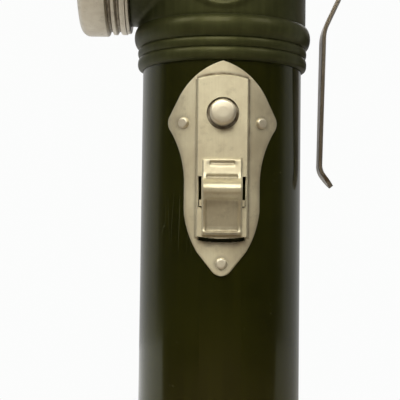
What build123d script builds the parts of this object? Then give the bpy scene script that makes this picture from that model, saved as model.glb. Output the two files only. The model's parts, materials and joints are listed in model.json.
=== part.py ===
from build123d import *
import math
import os

# Right-angle service flashlight for two round cells, in millimetres.
# Origin: centre of the base rim. +Z runs up the battery tube, the lens looks along -Y,
# the switch faces +X and the belt clip is on +Y.

# --- Cells
cell_radius = 16.6
cell_length = 59.5
nub_radius = 4.75
nub_height = 1.5
cell_edge = 1.2

# --- Layers between a cell and the outside of the tube
cell_gap = 0.25
liner_wall = 0.27
strip_gap = 0.08
strip_thickness = 0.3
insulator_gap = 0.06
insulator_thickness = 0.2
tube_gap = 0.04
tube_wall = 0.7

# --- Fits
part_gap = 0.05
running_gap = 0.06
seat_gap = 0.02

# --- End cap
recess_depth = 3.2
recess_radius = 15.6
cap_wall = 0.9
cap_skirt_wall = 0.95
cap_band_stand = 0.9
cap_band_height = 10.5
cap_length = 24.0
cap_corner = 2.6
cap_turns = 3
cap_pitch = 3.0
cap_cover = 1.0
gasket_thickness = 1.2
cap_shoulder_width = 1.65
spring_height = 25.4
spring_wire = 1.2
spring_foot_radius = 14.4
spring_top_radius = 9.6
spring_turns = 5
spare_flange = 0.6

# --- Hanger ring in the base
hanger_wire = 1.0
hanger_radius = 10.5
hanger_chord = 8.0
hanger_offset = 2.5
hanger_height = 1.7
saddle_gap = 0.08
saddle_wall = 0.5
saddle_width = 6.0
saddle_foot = 3.2

# --- Collar and head
stop_thickness = 1.2
stop_stand = 0.9
collar_height = 10.0
collar_overlap = 12.4
collar_wall = 0.75
collar_ridge = 0.5
collar_ridges = ((1.35, 1.35), (3.85, 1.25))
collar_bead = 1.2
collar_bead_start = 4.8
head_wall = 0.8
neck_stand = 1.0
dome_stand = 0.4
barrel_radius = 24.6
barrel_rise = 0.8
barrel_stand = 2.0
flare_length = 12.0
boss_radius = 10.5
boss_height = 0.35
boss_rise = 21.5

# --- Lens end
mouth_length = 6.9
flange_thickness = 0.5
lens_gasket_thickness = 1.2
lens_thickness = 2.2
lip_thickness = 1.0
ring_wall = 2.4
ring_window = 2.0
ring_corner = 2.7
ring_band = 6.5
lens_turns = 2
lens_pitch = 2.5

# --- Lamp, socket and reflector
lamp_base_radius = 4.7
lamp_base_length = 9.5
lamp_tip_length = 1.5
lamp_tip_radius = 1.6
globe_radius = 5.75
globe_height = 15.3
glass_wall = 0.5
socket_gap = 0.1
socket_wall = 0.5
socket_flange = 2.2
socket_length = 8.7
focal_length = 6.3
reflector_rim = 23.0
reflector_wall = 0.5
insulator_radius = 8.0
contact_thickness = 0.4
contact_width = 6.0

# --- Switch plate, measured down from its upper tip
plate_drop = 0.55
plate_thickness = 0.6
plate_length = 47.9
ear_drop = 13.7
ear_half = 12.2
waist_drop = 26.7
waist_length = 6.7
waist_half = 8.4
foot_half = 5.33
foot_drop = 42.7
tip_half = 2.3
tip_drop = 46.5
platform_half = 5.8
platform_start = 4.0
platform_end = 39.6
platform_stand = 2.3
platform_arch = 0.9
platform_edge = 0.5
rivet_head = 1.5
rivet_shank = 0.75
ear_rivet_drop = 13.8
ear_rivet_arc = 9.0
foot_rivet_drop = 45.1
opening_half = 4.6
opening_start = 7.0
opening_end = 36.0

# --- Flash button
button_drop = 12.0
button_radius = 2.9
button_hole = 3.65
button_stand = 2.6
button_travel = 1.2
button_flange = 4.2
button_tip = 1.5

# --- Thumb slide, measured down from its own upper end
slide_drop = 21.9
slide_length = 17.0
slide_half = 4.45
slide_travel = 5.0
slide_gap = 0.1
slide_crest = 4.1
lug_drop = 9.3
lug_length = 1.4
lug_width = 0.5
lug_gap = 0.1
stem_half = 1.2
stem_drop = 7.1
stem_length = 2.6
stem_end_gap = 0.2

# --- Belt clip
clip_thickness = 1.0
clip_width = 9.0
clip_tip_width = 6.0
clip_hang = 26.9
clip_near = 5.1
clip_far = 9.9
clip_hook = 2.8
clip_hook_height = 3.6
clip_bulge_rise = 20.0
clip_bend_rise = 9.6
clip_lean = 0.7
clip_bends = [8, 10, 4]
clip_pad_rise = 20.0
clip_pad_length = 10.5
clip_rivet_pitch = 5.5

# --- Places worked out from the sizes above
liner_in = cell_radius + cell_gap
liner_out = liner_in + liner_wall
strip_in = liner_out + strip_gap
strip_out = strip_in + strip_thickness
insulator_in = strip_out + insulator_gap
insulator_out = insulator_in + insulator_thickness
tube_in = insulator_out + tube_gap
tube_out = tube_in + tube_wall

cap_floor = recess_depth + cap_wall
cap_bore = tube_out + running_gap
cap_skirt = cap_bore + cap_skirt_wall
cap_band = cap_skirt + cap_band_stand
cap_inside = cap_bore - cap_shoulder_width
tube_bottom = cap_length - cap_turns * cap_pitch - cap_cover
cap_shoulder = tube_bottom - gasket_thickness

lower_cell_z = cap_floor + spring_height
upper_cell_z = lower_cell_z + cell_length + nub_height
stack_top = upper_cell_z + cell_length + nub_height
tube_top = stack_top + stop_stand
collar_bottom = tube_top - collar_overlap
collar_top = collar_bottom + collar_height
neck_radius = tube_out + neck_stand
lens_axis = collar_top + barrel_rise + barrel_radius

barrel_front = neck_radius + barrel_stand
mouth_rim = barrel_front + mouth_length
flange_front = mouth_rim + flange_thickness
gasket_front = flange_front + lens_gasket_thickness
lens_front = gasket_front + lens_thickness
ring_front = lens_front + lip_thickness
ring_bore = barrel_radius + running_gap
ring_radius = barrel_radius + ring_wall
window_radius = barrel_radius - ring_window
lens_radius = barrel_radius - 4 * part_gap

focus = mouth_rim - reflector_rim**2 / (4 * focal_length) + focal_length
lamp_foot = focus - globe_height

plate_tip = collar_bottom - plate_drop
plate_in = tube_out + seat_gap
plate_out = plate_in + plate_thickness
platform_top = plate_out + platform_stand - plate_thickness
platform_under = platform_top - plate_thickness
button_z = plate_tip - button_drop
slide_top = plate_tip - slide_drop
slide_under = platform_top + slide_gap
button_flange_x = platform_under - slide_gap
button_tip_x = strip_out + part_gap + button_travel

clip_body = tube_out + clip_near
clip_bulge = tube_out + clip_far
clip_pad = neck_radius + 2 * part_gap + clip_thickness / 2
clip_pad_bottom = collar_bottom + clip_pad_rise
clip_pad_top = clip_pad_bottom + clip_pad_length


def disc(radius, low, high):
    """Round solid on the tube's axis, from one height to another."""
    return Pos(0, 0, low) * Cylinder(radius, high - low, align=(Align.CENTER, Align.CENTER, Align.MIN))


def sleeve(inner, outer, low, high):
    return disc(outer, low, high) - disc(inner, low - 1, high + 1)


def block(x0, x1, y0, y1, z0, z1):
    """Box between three pairs of limits."""
    middle = Pos((x0 + x1) / 2, (y0 + y1) / 2, (z0 + z1) / 2)
    return middle * Box(x1 - x0, y1 - y0, z1 - z0)


def band(inner, outer, low, high):
    """Rectangle beside the axis, for a profile that is turned about it."""
    return Pos((inner + outer) / 2, (low + high) / 2) * Rectangle(outer - inner, high - low)


def turned(profile):
    """Turns a profile, drawn with radius along X and height along Y, about the tube's axis."""
    return revolve(Plane.XZ * profile, Axis.Z, 360)


def on_lens_axis(shape, forward=0.0):
    """Lays a shape built up the Z axis along the lens axis, towards the front."""
    return Pos(0, -forward, lens_axis) * Rot(90, 0, 0) * shape


def towards_switch(shape, z, angle=0.0):
    """Lays a shape built up the Z axis along a line from the tube's axis through the switch."""
    return Rot(0, 0, angle) * Pos(0, 0, z) * Rot(0, 90, 0) * shape


def corner(profile, radius, x, y):
    """Rounds the corner of a profile that is nearest to a point."""
    vertex = min(profile.vertices(), key=lambda v: (v.X - x) ** 2 + (v.Y - y) ** 2)
    return fillet(vertex, radius)


def cell(bottom):
    can = disc(cell_radius, bottom, bottom + cell_length)
    can = fillet(can.edges().filter_by(GeomType.CIRCLE), cell_edge)
    nub_top = bottom + cell_length + nub_height
    return can + fillet(disc(nub_radius, bottom + 1, nub_top).edges().group_by(Axis.Z)[-1], 0.4)


def switch_opening(clearance=0.0):
    """Window behind the switch plate that the button and the slide's shoe work through."""
    half = opening_half + clearance
    low = plate_tip - opening_end - clearance
    high = plate_tip - opening_start + clearance
    return block(cell_radius, tube_out + 2, -half, half, low, high)


def body_tube():
    return sleeve(tube_in, tube_out, tube_bottom, tube_top) - switch_opening() - rivet_holes()


def tube_liner():
    return sleeve(liner_in, liner_out, tube_bottom + 1, upper_cell_z + cell_length)


def wall_patch(inner, outer, half_width, low, high):
    """Piece of a round wall in front of the switch."""
    return sleeve(inner, outer, low, high) & block(0, outer + 1, -half_width, half_width, low, high)


def contact_strip():
    low = plate_tip - slide_drop - stem_drop + slide_travel / 2
    return wall_patch(strip_in, strip_out, contact_width / 2, low, tube_top + 5)


def switch_insulator():
    low = plate_tip - opening_end - 3
    sheet = wall_patch(insulator_in, insulator_out, opening_half + 2, low, tube_top - 1)
    return sheet - switch_opening()


# --- Head


def flare_profile(inset, front):
    """Half outline of the lamp housing about the lens axis: a dome at the back, easing out to
    the barrel that the lens ring screws onto. Height is measured towards the front."""
    dome = neck_radius + dome_stand - inset
    barrel = barrel_radius - inset
    middle = ((dome + barrel) / 2, flare_length / 2)
    back = ThreePointArc((0, -dome), (dome * math.sqrt(0.5), -dome * math.sqrt(0.5)), (dome, 0))
    flare_out = TangentArc((dome, 0), middle, tangent=(0, 1))
    flare_in = TangentArc(middle, (barrel, flare_length), tangent=flare_out % 1)
    side = Line((barrel, flare_length), (barrel, front))
    close = Polyline((barrel, front), (0, front), (0, -dome))
    return make_face(back + flare_out + flare_in + side + close)


def head_form(inset, front, neck_bottom):
    housing = revolve(Plane.XZ * flare_profile(inset, front), Axis.Z, 360)
    neck = disc(neck_radius - inset, neck_bottom, lens_axis)
    return on_lens_axis(housing) + neck


def collar():
    """Skirt over the tube, with two rolled ridges below a heavy bead."""
    skirt = tube_out + collar_wall
    profile = band(0, skirt, -0.3, collar_height + 1)
    for height, half in collar_ridges:
        profile += Pos(skirt + collar_ridge - half, height) * Circle(half)
    bead_half = (collar_height - collar_bead_start) / 2
    bead_circle = (bead_half**2 + collar_bead**2) / (2 * collar_bead)
    profile += Pos(skirt + collar_bead - bead_circle, collar_height - bead_half) * Circle(bead_circle)
    right_side = band(0, skirt + 5, -0.3, collar_height + 2)
    return Pos(0, 0, collar_bottom) * turned(profile & right_side)


def side_bosses():
    """Plain round pads pressed out of the two sides of the head."""
    pads = Pos(0, 0, collar_bottom + boss_rise) * Rot(0, 90, 0) * Cylinder(boss_radius, 60)
    return pads & head_form(-boss_height, barrel_front, collar_top)


def head_shell():
    outside = head_form(0, mouth_rim, collar_top) + collar() + side_bosses()
    inside = head_form(head_wall, mouth_rim + 5, tube_top)
    tube_seat = disc(tube_out + part_gap, collar_bottom - 5, tube_top + seat_gap)
    holes = Pos(0, neck_radius, 0) * clip_rivet_row(Cylinder(rivet_shank + part_gap, 4))
    return outside - inside - tube_seat - holes


def battery_stop():
    stop = disc(neck_radius - head_wall - 0.3, tube_top + seat_gap, tube_top + stop_thickness)
    low, high = tube_top - 1, tube_top + 3
    half = contact_width / 2 + 0.3
    notch = block(liner_in - 0.2, neck_radius, -half, half, low, high)
    return stop - disc(nub_radius + 1.3, low, high) - notch


# --- Lens ring, lens, gasket


def lens_ring():
    """Heavy front ring: a wide band with a rounded front corner, two fine grooves and a rear rim."""
    length = ring_front - barrel_front
    core = ring_radius - 1.1
    profile = band(window_radius, core, part_gap, length - 1)
    main = band(window_radius, ring_radius, length - ring_band, length)
    main = corner(main, ring_corner, ring_radius, length)
    main = corner(main, 0.5, ring_radius, length - ring_band)
    main = corner(main, 0.4, window_radius, length)
    profile += main
    profile += Pos(core + 0.15, 3.7) * Circle(0.55)
    profile += corner(band(window_radius, ring_radius - 0.5, 0.9, 2.2), 0.35, ring_radius, 2.2)
    profile += corner(band(window_radius, ring_radius - 0.7, part_gap, 1), 0.3, ring_radius, 0)
    profile -= band(0, ring_bore, -1, length - lip_thickness + seat_gap)
    return on_lens_axis(turned(profile), barrel_front)


def lens_glass():
    glass = disc(lens_radius, gasket_front, lens_front)
    return on_lens_axis(chamfer(glass.edges().group_by(Axis.Z)[-1], 0.4))


def lens_gasket():
    return on_lens_axis(sleeve(window_radius, lens_radius, flange_front + seat_gap, gasket_front))


# --- Lamp and reflector


def bowl_depth(radius):
    """Distance of the mirror surface from its vertex."""
    return radius**2 / (4 * focal_length)


def reflector():
    hole = lamp_base_radius + socket_gap + socket_wall + 0.2
    vertex = mouth_rim - bowl_depth(reflector_rim)
    radii = [hole + (reflector_rim - hole) * step / 4 for step in range(5)]
    front = Spline(*[(r, vertex + bowl_depth(r)) for r in radii])
    outward = reflector_wall * 0.8
    back = Spline(*[(r + outward, vertex + bowl_depth(r) - reflector_wall) for r in reversed(radii)])
    flange = Polyline(
        (reflector_rim, mouth_rim),
        (reflector_rim, flange_front),
        (lens_radius, flange_front),
        (lens_radius, mouth_rim + seat_gap),
        (reflector_rim + outward, mouth_rim + seat_gap),
        (reflector_rim + outward, mouth_rim - reflector_wall),
    )
    inner_edge = Line(back @ 1, front @ 0)
    return on_lens_axis(turned(make_face(front + flange + back + inner_edge)))


def lamp_base():
    """Screw base built up the Z axis from its centre contact."""
    profile = band(0, lamp_tip_radius, 0, lamp_tip_length + 1)
    profile += band(0, lamp_base_radius - 0.35, lamp_tip_length, lamp_base_length)
    for turn in range(4):
        profile += Pos(lamp_base_radius - 0.45, lamp_tip_length + 1.3 + 1.8 * turn) * Circle(0.45)
    return turned(profile)


def lamp_glass():
    neck = globe_radius * 0.62
    envelope = disc(neck, lamp_base_length, globe_height) + Pos(0, 0, globe_height) * Sphere(globe_radius)
    hollow = disc(neck - glass_wall, lamp_base_length + glass_wall, globe_height)
    hollow += Pos(0, 0, globe_height) * Sphere(globe_radius - glass_wall)
    return envelope - hollow


def socket_shell():
    """Threaded shell that takes a lamp base, with a flange round its front."""
    bore = lamp_base_radius + socket_gap
    shell = sleeve(bore, bore + socket_wall, 0, socket_length)
    return shell + sleeve(bore, bore + socket_wall + socket_flange, socket_length - 1.1, socket_length - 0.5)


def lamp_socket():
    return on_lens_axis(socket_shell(), lamp_foot + lamp_tip_length)


def socket_insulator():
    disc_back = lamp_foot + lamp_tip_length
    plate = sleeve(lamp_tip_radius + 0.4, insulator_radius, disc_back - 1.1, disc_back - seat_gap)
    return on_lens_axis(plate)


def head_contact():
    """Leaf from the lamp's centre contact down to the upper cell's nub."""
    half = contact_width / 2
    face = part_gap - lamp_foot
    foot = stack_top + 2 * part_gap
    leaf = block(-half, half, face, face + contact_thickness, foot, lens_axis + insulator_radius - 2)
    leaf += block(-half, half, -nub_radius, face + contact_thickness, foot, foot + contact_thickness)
    return leaf


def socket_lead():
    """Insulated wire from the contact strip up to the lamp socket's flange."""
    top = lens_axis - insulator_radius + 1.5
    points = [(strip_in - 1.2, 0, tube_top + 3), (strip_in - 3.5, 0, tube_top + 9), (9, -5, top)]
    path = FilletPolyline(*points, radius=4)
    return sweep(Plane(origin=path @ 0, z_dir=path % 0) * Circle(0.6), path)


# --- Switch plate


def plate_outline():
    """Shield outline in Y and Z, pointed above, with ears, a waist and a rounded foot."""
    waist_end = waist_drop + waist_length
    flank_drop = (ear_drop + waist_drop) / 2 + 0.9
    right = ThreePointArc((0, 0), (5.4, 2.75), (9.55, 7.6))
    shoulder = Line(right @ 1, (ear_half - 0.45, ear_drop - 1.7))
    ear = ThreePointArc(shoulder @ 1, (ear_half, ear_drop), (ear_half - 0.6, ear_drop + 1.7))
    flank = ThreePointArc(ear @ 1, (waist_half + 0.85, flank_drop), (waist_half, waist_drop))
    waist = Line(flank @ 1, (waist_half, waist_end))
    hip = ThreePointArc(waist @ 1, (waist_half - 1.0, waist_end + 4.8), (foot_half, foot_drop))
    foot = Line(hip @ 1, (tip_half, tip_drop))
    tip = ThreePointArc(foot @ 1, (tip_half * 0.55, plate_length - 0.4), (0, plate_length))
    middle = Line(tip @ 1, (0, 0))
    half = make_face(right + shoulder + ear + flank + waist + hip + foot + tip + middle)
    return half + mirror(half, Plane.YZ)


def facing_switch(sketch, low, high):
    """Extrudes a sketch, drawn with depth below the plate's tip along Y, between two X planes."""
    plane = Plane(origin=(low, 0, plate_tip), x_dir=(0, 1, 0), z_dir=(1, 0, 0))
    return extrude(plane * mirror(sketch, Plane.XZ), high - low)


def drop_box(half, start, end, low, high):
    """Box behind or in the switch plate, between two depths below its tip."""
    return block(low, high, -half, half, plate_tip - end, plate_tip - start)


def rivet_seats():
    """Angle about the tube and height of each of the plate's three rivets."""
    swing = math.degrees(ear_rivet_arc / plate_out)
    ear_z = plate_tip - ear_rivet_drop
    return [(swing, ear_z), (-swing, ear_z), (0, plate_tip - foot_rivet_drop)]


def rivet_holes():
    hole = disc(rivet_shank + part_gap, tube_in - 2, plate_out + 2)
    return Compound([towards_switch(hole, z, angle) for angle, z in rivet_seats()])


def raised_platform():
    """Flat-topped channel pressed out of the plate, open at its lower end."""
    width = 2 * platform_half
    outline = Pos(0, (platform_start + platform_end) / 2) * Rectangle(width, platform_end - platform_start)
    arch = (platform_half**2 + platform_arch**2) / (2 * platform_arch)
    crown = Pos(0, platform_start - platform_arch + arch) * Circle(arch)
    outline = outline + (crown & (Pos(0, platform_start) * Rectangle(width, 2 * platform_arch)))
    solid = facing_switch(outline, cell_radius, platform_top)
    return fillet(solid.faces().sort_by(Axis.X)[-1].edges().filter_by(Axis.Z), platform_edge)


def switch_plate():
    low, high = plate_tip - plate_length - 5, plate_tip + 5
    skin = facing_switch(plate_outline(), 5, plate_out + 5) & sleeve(plate_in, plate_out, low, high)
    channel = raised_platform() - disc(plate_in, low, high)
    inside = platform_half - plate_thickness
    hollow = drop_box(inside, platform_start + 0.5, platform_end, cell_radius, platform_under)
    plate = skin + channel - hollow
    plate -= towards_switch(disc(button_hole, platform_under - 1, platform_top + 1), button_z)
    stem_start = slide_drop + stem_drop - slide_travel - stem_end_gap
    stem_end = slide_drop + stem_drop + stem_length + stem_end_gap
    plate -= drop_box(stem_half + lug_gap, stem_start, stem_end, platform_under - 1, platform_top + 1)
    lug_start = slide_drop + lug_drop - slide_travel - stem_end_gap
    lug_end = slide_drop + lug_drop + lug_length + stem_end_gap
    for side in (-1, 1):
        centre = side * (slide_half + lug_gap + lug_width / 2)
        half = lug_width / 2 + lug_gap
        left, right = centre - half, centre + half
        bottom, top = plate_tip - lug_end, plate_tip - lug_start
        plate -= block(platform_under - 1, platform_top + 1, left, right, bottom, top)
    return plate - rivet_holes()


def switch_rivets():
    head = disc(rivet_head, plate_out + seat_gap, plate_out + 0.75)
    head = fillet(head.edges().group_by(Axis.Z)[-1], 0.6)
    rivet = head + disc(rivet_shank, liner_out + 0.2, plate_out + 0.3)
    rivet += disc(rivet_shank + 0.5, liner_out + 0.15, tube_in - 0.1)
    return Compound([towards_switch(rivet, z, angle) for angle, z in rivet_seats()])


def flash_button():
    """Push button held under the platform by its flange, with a contact tip below."""
    cap = disc(button_radius, button_flange_x - 0.5, platform_top + button_stand)
    cap = fillet(cap.edges().group_by(Axis.Z)[-1], 1.1)
    flange = disc(button_flange, button_flange_x - 0.5, button_flange_x)
    tip = disc(button_tip, button_tip_x, button_flange_x - 0.3)
    return towards_switch(cap + flange + tip, button_z)


def button_spring():
    """Sprung washer under the button's flange, drawn pressed flat."""
    top = button_flange_x - 0.5 - button_travel - part_gap
    return towards_switch(sleeve(button_tip + 0.4, button_flange - 0.3, top - 0.25, top), button_z)


def slide_profile():
    """Side outline of the thumb slide: depth along X, height above the platform along Y."""
    crest = slide_crest
    first_rib = [(0, 0), (0, 0.9), (1.0, 1.5), (1.4, 1.0), (1.9, 1.9)]
    second_rib = [(3.9, crest - 1.2), (4.4, crest - 1.8), (4.9, crest - 0.7)]
    top = Polyline(*first_rib, *second_rib, (5.7, crest - 0.1), (6.5, crest), (8.8, crest - 0.8))
    scoop = ThreePointArc(top @ 1, (11.6, 1.45), (slide_length - 0.9, 0.75))
    lip = Polyline(scoop @ 1, (slide_length - 0.5, 1.05), (slide_length, 0.7), (slide_length, 0), (0, 0))
    return make_face(top + scoop + lip)


def switch_slide():
    plane = Plane(origin=(slide_under, slide_half, slide_top), x_dir=(0, 0, -1), z_dir=(0, -1, 0))
    thumb = extrude(plane * slide_profile(), 2 * slide_half)
    start, end = slide_drop + 9.9, slide_drop + slide_length - 0.6
    thumb -= drop_box(slide_half - 1, start, end, slide_under + 0.55, slide_under + slide_crest)
    stem_start = slide_drop + stem_drop
    stem_end = stem_start + stem_length
    thumb += drop_box(stem_half, stem_start, stem_end, platform_under - 0.5, slide_under + 0.2)
    lug_start = slide_drop + lug_drop
    lug_half = slide_half + lug_gap + lug_width
    wing = drop_box(lug_half, lug_start, lug_start + lug_length, slide_under, slide_under + 0.5)
    lugs = drop_box(lug_half, lug_start, lug_start + lug_length, platform_under - 0.5, slide_under + 0.5)
    lugs -= drop_box(lug_half - lug_width, lug_start - 1, lug_start + lug_length + 1, 0, slide_under)
    return thumb + wing + lugs


def slide_contact():
    """Brass shoe on the slide's stem, with a finger that reaches in to the contact strip."""
    start = slide_drop + stem_drop - 1
    top = platform_under - 0.5
    shoe = drop_box(stem_half + 1.4, start, start + stem_length + 3, top - contact_thickness, top)
    finger = drop_box(stem_half + 0.4, start, start + contact_thickness, strip_out + part_gap, top)
    return shoe + finger


# --- Belt clip


def clip_path():
    """Middle line of the strip in Y and Z: pad on the head, loop over the top, then down the tube."""
    bulge_bottom = collar_bottom + clip_bulge_rise
    points = [
        (0, clip_pad, clip_pad_bottom),
        (0, clip_pad, clip_pad_top + 4),
        (0, clip_bulge, clip_pad_top + 4),
        (0, clip_bulge, bulge_bottom),
        (0, clip_body, collar_bottom + clip_bend_rise),
        (0, clip_body - clip_lean, collar_bottom - clip_hang + clip_hook_height),
        (0, clip_body - clip_lean + clip_hook, collar_bottom - clip_hang),
    ]
    return FilletPolyline(*points, radius=[(clip_bulge - clip_pad) / 2 - 0.05] * 2 + clip_bends)


def belt_clip():
    path = clip_path()
    section = Plane(origin=path @ 0, x_dir=(1, 0, 0), z_dir=path % 0) * Rectangle(clip_width, clip_thickness)
    strip = sweep(section, path)
    low, knee = collar_bottom - clip_hang - 1, collar_bottom + clip_bend_rise
    half, tip, top = clip_width / 2, clip_tip_width / 2, clip_pad_top + 10
    taper = Line((half, knee), (tip, low + tip))
    end = ThreePointArc((tip, low + tip), (0, low + 0.2), (-tip, low + tip))
    back = Polyline((-tip, low + tip), (-half, knee), (-half, top), (half, top), (half, knee))
    outline = make_face(taper + end + back)
    strip &= extrude(Plane.XZ * outline, 60, both=True)
    return strip - Pos(0, clip_pad, 0) * clip_rivet_row(Cylinder(rivet_shank + part_gap, 4))


def clip_rivet_row(shape):
    """Two copies of a shape, turned to lie along Y, one above the other on the clip's pad."""
    middle = (clip_pad_bottom + clip_pad_top) / 2
    heights = [middle - clip_rivet_pitch / 2, middle + clip_rivet_pitch / 2]
    return Compound([Pos(0, 0, z) * Rot(-90, 0, 0) * shape for z in heights])


def backing_face():
    """Outer face of the flat plate inside the head that the clip's rivets pull against."""
    inner = neck_radius - head_wall
    return math.sqrt(inner**2 - (clip_width / 2) ** 2) - part_gap


def clip_backing():
    face = backing_face()
    half = clip_width / 2
    plate = block(-half, half, face - 0.6, face, clip_pad_bottom + 0.5, clip_pad_top - 0.5)
    return plate - Pos(0, face, 0) * clip_rivet_row(Cylinder(rivet_shank + part_gap, 4))


def clip_rivets():
    outside = clip_pad + clip_thickness / 2 + seat_gap
    inside = backing_face() - 0.6 - seat_gap
    head = fillet(disc(1.9, outside, outside + 0.7).edges().group_by(Axis.Z)[-1], 0.6)
    rivet = head + disc(rivet_shank, inside - 0.3, outside + 0.3)
    rivet += disc(rivet_shank + 0.6, inside - 0.4, inside)
    return clip_rivet_row(rivet)


# --- End cap and what is in it


def end_cap():
    """Screw cap: a wide band with a rounded bottom corner, two fine grooves and an upper rim."""
    profile = band(0, cap_skirt, 0.5, cap_length)
    main = band(0, cap_band, 0, cap_band_height)
    main = corner(main, cap_corner, cap_band, 0)
    main = corner(main, 0.5, cap_band, cap_band_height)
    profile += main
    profile += Pos(cap_skirt, cap_band_height + 1.6) * Circle(0.6)
    rim = corner(band(0, cap_skirt + 0.55, cap_length - 8, cap_length), 0.5, cap_skirt + 1, cap_length)
    rim = corner(rim, 0.5, cap_skirt + 1, cap_length - 8)
    profile += rim
    solid = turned(profile)
    solid -= disc(recess_radius, -1, recess_depth)
    solid -= disc(cap_inside, cap_floor, cap_length + 1)
    solid -= disc(cap_bore, cap_shoulder, cap_length + 1)
    return solid - saddle_rivet_pair(Cylinder(rivet_shank + part_gap, 6))


def cap_gasket():
    return sleeve(cap_inside + 0.1, cap_bore - 0.16, cap_shoulder + seat_gap, tube_bottom - seat_gap)


def cap_spring():
    wire = spring_wire / 2
    bottom = cap_floor + wire + part_gap
    rise = lower_cell_z - wire - part_gap - bottom
    cone = -math.degrees(math.atan((spring_foot_radius - spring_top_radius) / rise))
    path = Pos(0, 0, bottom) * Helix(rise / spring_turns, rise, spring_foot_radius, cone_angle=cone)
    return sweep(Plane(origin=path @ 0, z_dir=path % 0) * Circle(wire), path, is_frenet=True)


def spare_holder():
    """Cup on the cap's floor that a spare lamp screws into."""
    bore = lamp_base_radius + socket_gap
    cup = sleeve(bore, bore + socket_wall, cap_floor, cap_floor + 6)
    return cup + sleeve(bore, bore + socket_wall + spare_flange, cap_floor + seat_gap, cap_floor + 0.5)


def hanger_y():
    """Place of the hanger ring's straight bar, which is its pivot."""
    return hanger_offset + hanger_chord


def hanger_ring():
    """Wire ring with one straight side, folded flat into the base."""
    ring = Torus(hanger_radius, hanger_wire)
    ring -= block(-20, 20, hanger_chord, 20, -5, 5)
    half = math.sqrt(hanger_radius**2 - hanger_chord**2)
    bar = Pos(0, hanger_chord, 0) * Rot(0, 90, 0) * Cylinder(hanger_wire, 2 * half)
    ends = [Pos(side * half, hanger_chord, 0) * Sphere(hanger_wire) for side in (-1, 1)]
    return Pos(0, hanger_offset, hanger_height) * (ring + bar + ends[0] + ends[1])


def hanger_saddle():
    """Strap riveted to the cap's floor that the ring's bar turns in."""
    y, half = hanger_y(), saddle_width / 2
    bore = hanger_wire + saddle_gap
    outer = bore + saddle_wall
    top = recess_depth - seat_gap
    wrap = Pos(0, y, hanger_height) * Rot(0, 90, 0) * Cylinder(outer, saddle_width)
    wrap += block(-half, half, y - outer, y + outer, hanger_height, top)
    wrap += block(-half, half, y - outer - saddle_foot, y + outer + saddle_foot, top - saddle_wall, top)
    hole = Pos(0, y, hanger_height) * Rot(0, 90, 0) * Cylinder(bore, saddle_width + 2)
    hole += block(-half - 1, half + 1, y - bore, y + bore, hanger_height, top + 1)
    return wrap - hole - saddle_rivet_pair(Cylinder(rivet_shank + part_gap, 6))


def saddle_rivet_pair(shape):
    reach = hanger_wire + saddle_gap + saddle_wall + saddle_foot / 2
    return Compound([Pos(0, hanger_y() + side * reach, recess_depth) * shape for side in (-1, 1)])


def saddle_rivets():
    head = disc(1.2, -saddle_wall - 0.65, -saddle_wall - 2 * seat_gap)
    rivet = fillet(head.edges().group_by(Axis.Z)[0], 0.4)
    rivet += disc(rivet_shank, -saddle_wall - 0.3, cap_wall + 0.3)
    rivet += disc(rivet_shank + 0.4, cap_wall + seat_gap, cap_wall + 0.4)
    return saddle_rivet_pair(rivet)


# --- Every piece, by name
pieces = {
    "body_tube": body_tube(),
    "tube_liner": tube_liner(),
    "lower_cell": cell(lower_cell_z),
    "upper_cell": cell(upper_cell_z),
    "battery_stop": battery_stop(),
    "head_shell": head_shell(),
    "lens_ring": lens_ring(),
    "lens_glass": lens_glass(),
    "lens_gasket": lens_gasket(),
    "reflector": reflector(),
    "lamp_base": on_lens_axis(lamp_base(), lamp_foot),
    "lamp_glass": on_lens_axis(lamp_glass(), lamp_foot),
    "lamp_socket": lamp_socket(),
    "socket_insulator": socket_insulator(),
    "head_contact": head_contact(),
    "socket_lead": socket_lead(),
    "contact_strip": contact_strip(),
    "switch_insulator": switch_insulator(),
    "switch_plate": switch_plate(),
    "switch_rivets": switch_rivets(),
    "flash_button": flash_button(),
    "button_spring": button_spring(),
    "switch_slide": switch_slide(),
    "slide_contact": slide_contact(),
    "belt_clip": belt_clip(),
    "clip_rivets": clip_rivets(),
    "clip_backing": clip_backing(),
    "end_cap": end_cap(),
    "cap_gasket": cap_gasket(),
    "cap_spring": cap_spring(),
    "spare_holder": spare_holder(),
    "spare_lamp_base": Pos(0, 0, cap_floor + 0.1) * lamp_base(),
    "spare_lamp_glass": Pos(0, 0, cap_floor + 0.1) * lamp_glass(),
    "hanger_saddle": hanger_saddle(),
    "saddle_rivets": saddle_rivets(),
    "hanger_ring": hanger_ring(),
}

os.makedirs("parts", exist_ok=True)
for name, solid in pieces.items():
    export_step(solid, f"parts/{name}.step")
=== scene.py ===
import json
import math

import bmesh
import bpy
import numpy as np
from mathutils import Matrix, Vector


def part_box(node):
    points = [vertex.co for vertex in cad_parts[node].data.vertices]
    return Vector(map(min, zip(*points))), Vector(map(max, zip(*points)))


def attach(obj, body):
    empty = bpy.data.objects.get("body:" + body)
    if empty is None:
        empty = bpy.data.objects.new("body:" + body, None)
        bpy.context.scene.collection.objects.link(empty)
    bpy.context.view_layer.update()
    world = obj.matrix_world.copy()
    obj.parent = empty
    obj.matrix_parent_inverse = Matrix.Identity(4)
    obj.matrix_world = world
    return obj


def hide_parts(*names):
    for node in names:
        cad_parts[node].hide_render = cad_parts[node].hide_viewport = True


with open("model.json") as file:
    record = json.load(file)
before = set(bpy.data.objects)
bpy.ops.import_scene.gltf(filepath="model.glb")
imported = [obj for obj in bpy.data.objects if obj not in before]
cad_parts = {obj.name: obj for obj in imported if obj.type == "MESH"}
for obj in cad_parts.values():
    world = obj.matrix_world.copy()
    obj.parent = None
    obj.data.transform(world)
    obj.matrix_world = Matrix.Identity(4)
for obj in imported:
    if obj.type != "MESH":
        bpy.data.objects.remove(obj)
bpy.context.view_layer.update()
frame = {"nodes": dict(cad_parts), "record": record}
mm = 0.001

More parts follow.
